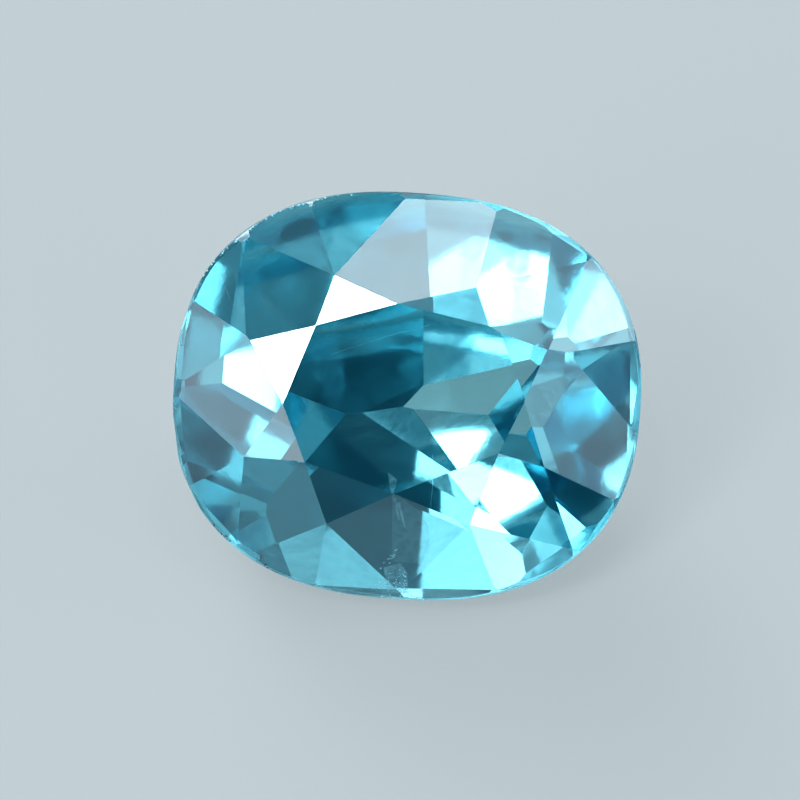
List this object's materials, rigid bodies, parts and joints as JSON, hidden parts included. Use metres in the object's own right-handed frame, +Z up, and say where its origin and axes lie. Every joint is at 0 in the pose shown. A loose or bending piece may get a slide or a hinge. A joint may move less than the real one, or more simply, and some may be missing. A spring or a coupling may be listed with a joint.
{
  "type": "faceted zircon gemstone",
  "caption": "Loose faceted blue gemstone: cushion-shaped oval outline, flat table, faceted crown, thin rounded girdle and a stepped pavilion that ends in a short keel; it lies on one pavilion facet.",
  "frame": {"origin": "centre of the bounding box's footprint, on the surface that the stone lies on", "axes": "+X along the stone's length, -Y the way the table leans, +Z up"},
  "size_m": [0.008, 0.0056, 0.0045],
  "materials": {
    "zircon": "polished facets, clear blue, high refraction"
  },
  "bodies": {
    "root": {"zircon": "zircon"}
  },
  "joints": []
}
